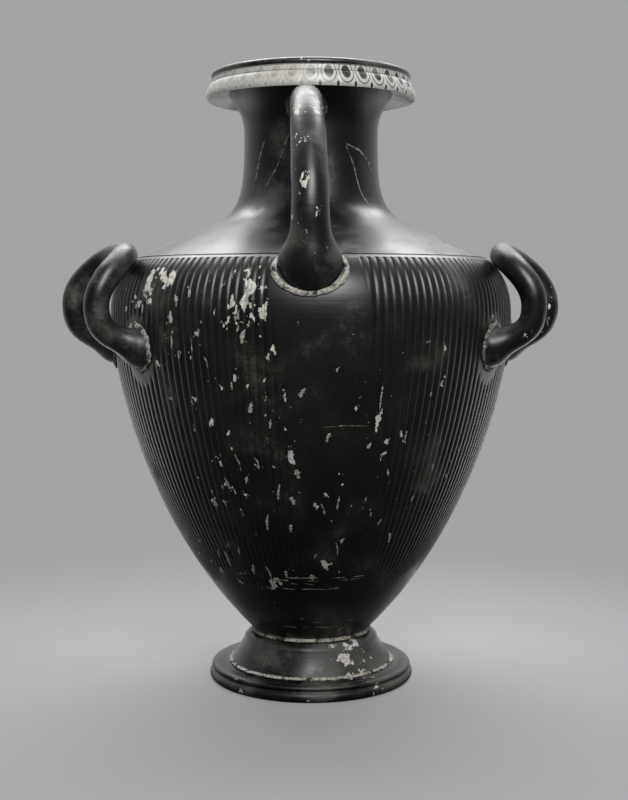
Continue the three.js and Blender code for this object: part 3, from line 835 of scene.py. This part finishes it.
def luting(name, node, angle, height, wide, tall, width, thick, seed, material):
    middle = wall_place(height)
    radius = wall_at(middle)[0].x
    points, faces = [], []
    for k in range(STRIPS):
        round_root = 2 * math.pi * k / STRIPS
        cosine, sine = math.cos(round_root), math.sin(round_root)
        rough = noise.noise((ROUGH_TURNS * cosine + seed, ROUGH_TURNS * sine, NOISE_LEVEL))
        jag = noise.noise((JAG_TURNS * cosine, JAG_TURNS * sine + seed, NOISE_LEVEL))
        reach = width * (0.75 + 0.7 * rough + 0.35 * jag)
        for j in range(STRIP_POINTS):
            share = j / (STRIP_POINTS - 1)
            out = -UNDER_ROD + (reach + UNDER_ROD) * share
            swell = math.sin(math.pi * (COIL_START + (1 - COIL_START) * share))
            lift = thick * swell * (0.8 + 0.5 * jag) - EDGE_SINK * share
            side, up = (wide + out) * cosine, (tall + out) * sine
            points.append(on_wall(angle + side / radius, middle + up, lift))
    for k in range(STRIPS):
        here, there = k * STRIP_POINTS, (k + 1) % STRIPS * STRIP_POINTS
        for j in range(STRIP_POINTS - 1):
            faces.append((here + j, there + j, there + j + 1, here + j + 1))
    piece = make_piece(name, points, faces, material, node)
    body = piece.modifiers.new("body", "SOLIDIFY")
    body.thickness = COIL_THICK * MM
    body.offset = -1


luting("back_root_luting", "back_handle_lower_luting", angle=0, height=306.5, wide=24.0, tall=19.0,
       width=1.2, thick=0.9, seed=1.5, material=plaster)
luting("back_top_luting", "back_handle_upper_luting", angle=math.radians(-3.4), height=419.0, wide=12.5,
       tall=12.5, width=2.4, thick=1.0, seed=2.5, material=dusty_clay)
root_names = ["right_near", "right_far", "left_near", "left_far"]
for name, (angle, height) in zip(root_names, SIDE_ROOTS):
    side_name, arm_name = name.split("_")
    luting(name + "_root_luting", f"{side_name}_handle_{arm_name}_luting", angle, height, wide=13.5,
           tall=15.0, width=2.6, thick=1.2, seed=height + angle,
           material=plaster if name == "left_near" else dusty_clay)


# %% [markdown]
# Fine marks are the ends of a painted wreath on the neck, a scratch, and dashes of worn clay in the
# turned lines low on the body. Each is a narrow strip laid on the wall through a few points, given
# as degrees round the jar and height. It is widest in its middle, and noise makes its edge uneven.

# %% Strokes on the wall
STROKE_STEPS, STROKE_LIFT, STROKE_TIP = 8, 0.06, 0.06
NOISE_ROUND, NOISE_UP, NOISE_PLACE = 1.7, 0.9, 3.1


def between(first, second, share):
    return [first[i] + (second[i] - first[i]) * share for i in (0, 1)]


def stroke(name, marks, width, material):
    points, faces, dense = [], [], []
    for first, second in zip(marks, marks[1:]):
        dense += [between(first, second, k / STROKE_STEPS) for k in range(STROKE_STEPS)]
    dense.append(list(marks[-1]))
    for k, (degrees, height) in enumerate(dense):
        share = k / (len(dense) - 1)
        before, after = dense[max(k - 1, 0)], dense[min(k + 1, len(dense) - 1)]
        radius = wall_radius(height)
        run = Vector((math.radians(after[0] - before[0]) * radius, after[1] - before[1])).normalized()
        along = min(max(share, STROKE_TIP), 1 - STROKE_TIP)
        half = 0.5 * width * (math.sin(math.pi * along) ** 0.5)
        half *= 0.75 + 1.1 * noise.noise((degrees * NOISE_ROUND, height * NOISE_UP, NOISE_PLACE))
        for side in (-1, 1):
            across = Vector((-run.y, run.x)) * half * side
            angle = math.radians(degrees) + across.x / radius
            points.append(on_wall(angle, wall_place(height) + across.y, STROKE_LIFT))
    for k in range(len(dense) - 1):
        faces.append((2 * k, 2 * k + 1, 2 * k + 3, 2 * k + 2))
    piece = make_piece(name, points, faces, material)


faded_paint = filler("faded_wreath_paint", "#8e8d86", "#4a4944", size_mm=2.0)
WREATH_WIDTH, SCRATCH_WIDTH = 1.5, 0.7
WREATH = [[(-17, 404), (-22, 395), (-27, 382), (-38, 366)],
          [(-42, 398), (-48, 385), (-52, 366)],
          [(30, 396), (44, 392), (54, 386), (58, 380)],
          [(30, 395), (38, 380), (42, 362), (48, 350)],
          [(62, 384), (60, 378), (55, 384), (62, 384)]]
SCRATCH = [(3, 203), (9, 204), (16, 203.5)]
for number, marks in enumerate(WREATH):
    stroke(f"wreath_end_{number}", marks, WREATH_WIDTH, faded_paint)
stroke("scratch_mark", SCRATCH, SCRATCH_WIDTH, dusty_clay)


# %% [markdown]
# The worn dashes follow the low turned lines in two groups. A seeded draw gives each its place,
# length, slant and width, so that the pattern is the same in every run.

# %% Worn dashes
DASHES, LOWEST_DASHES = 34, 14
LOWEST_LINES, UPPER_LINES = [50, 54.5, 58], [84, 88.5, 93, 91]
random.seed(7)
for number in range(DASHES):
    degrees = random.uniform(-42, 40)
    height = random.choice(LOWEST_LINES if number < LOWEST_DASHES else UPPER_LINES)
    length = random.uniform(2, 9)
    slant = random.uniform(-0.8, 0.8)
    stroke(f"worn_dash_{number}", [(degrees, height), (degrees + length, height + slant)],
           random.uniform(0.5, 1.1), plaster)

# %% [markdown]
# Where the slip has flaked, it left short upright chips that show the pale clay. The material has
# many small ones, and the plain ones seen from the front are laid here one by one, as strips of
# clay a few millimetres long: degrees round the jar, height, length and width.

# %% Flakes
FLAKES = [(-17, 262, 9, 3.2), (-19, 275, 6, 2.5), (-15.5, 270, 4, 2), (-37, 285, 8, 3), (-33, 291, 7, 3),
          (-28, 245, 7, 1.6), (-16, 216, 8, 3.6), (-11, 205, 6, 2.4), (-2, 226, 6, 3), (7, 241, 3, 2.4),
          (-22, 178, 11, 1.6), (-16, 178, 8, 1.4), (-27, 162, 9, 2.2), (-20, 166, 5, 2.6), (-10, 158, 11, 2),
          (-34, 146, 9, 3), (-30, 148, 5, 2), (-24, 142, 6, 2), (-15, 136, 12, 2.4), (-6, 152, 5, 4),
          (-4, 171, 6, 5), (5, 196, 6, 2.6), (9, 150, 10, 1.6), (4, 146, 8, 1.2), (19, 222, 16, 1.4),
          (24, 171, 5, 1.6), (25, 135, 4, 1.4), (31, 122, 8, 2.4), (12, 122, 4, 2), (10, 116, 11, 1),
          (-38, 104, 12, 3.2), (-26, 98, 8, 2.4), (-19, 97, 9, 2), (-11, 96, 5, 2.6), (-7, 132, 6, 2.4),
          (0.5, 94, 4, 5), (-42, 108, 4, 2), (-30, 112, 6, 1.6), (17, 190, 4, 2), (2, 110, 5, 1.2),
          (36, 150, 5, 1.4), (41, 172, 5, 1.4), (28, 196, 6, 1.2), (-21, 230, 5, 2), (-35, 200, 5, 1.8)]
for number, (degrees, height, length, width) in enumerate(FLAKES):
    slant = random.uniform(-0.7, 0.7)
    top = (degrees - slant, height + length / 2)
    middle = (degrees + slant * 0.6, height + random.uniform(-1, 1))
    foot = (degrees + slant, height - length / 2)
    stroke(f"flake_{number}", [top, middle, foot], width, plaster)
print("flakes laid:", len(FLAKES))
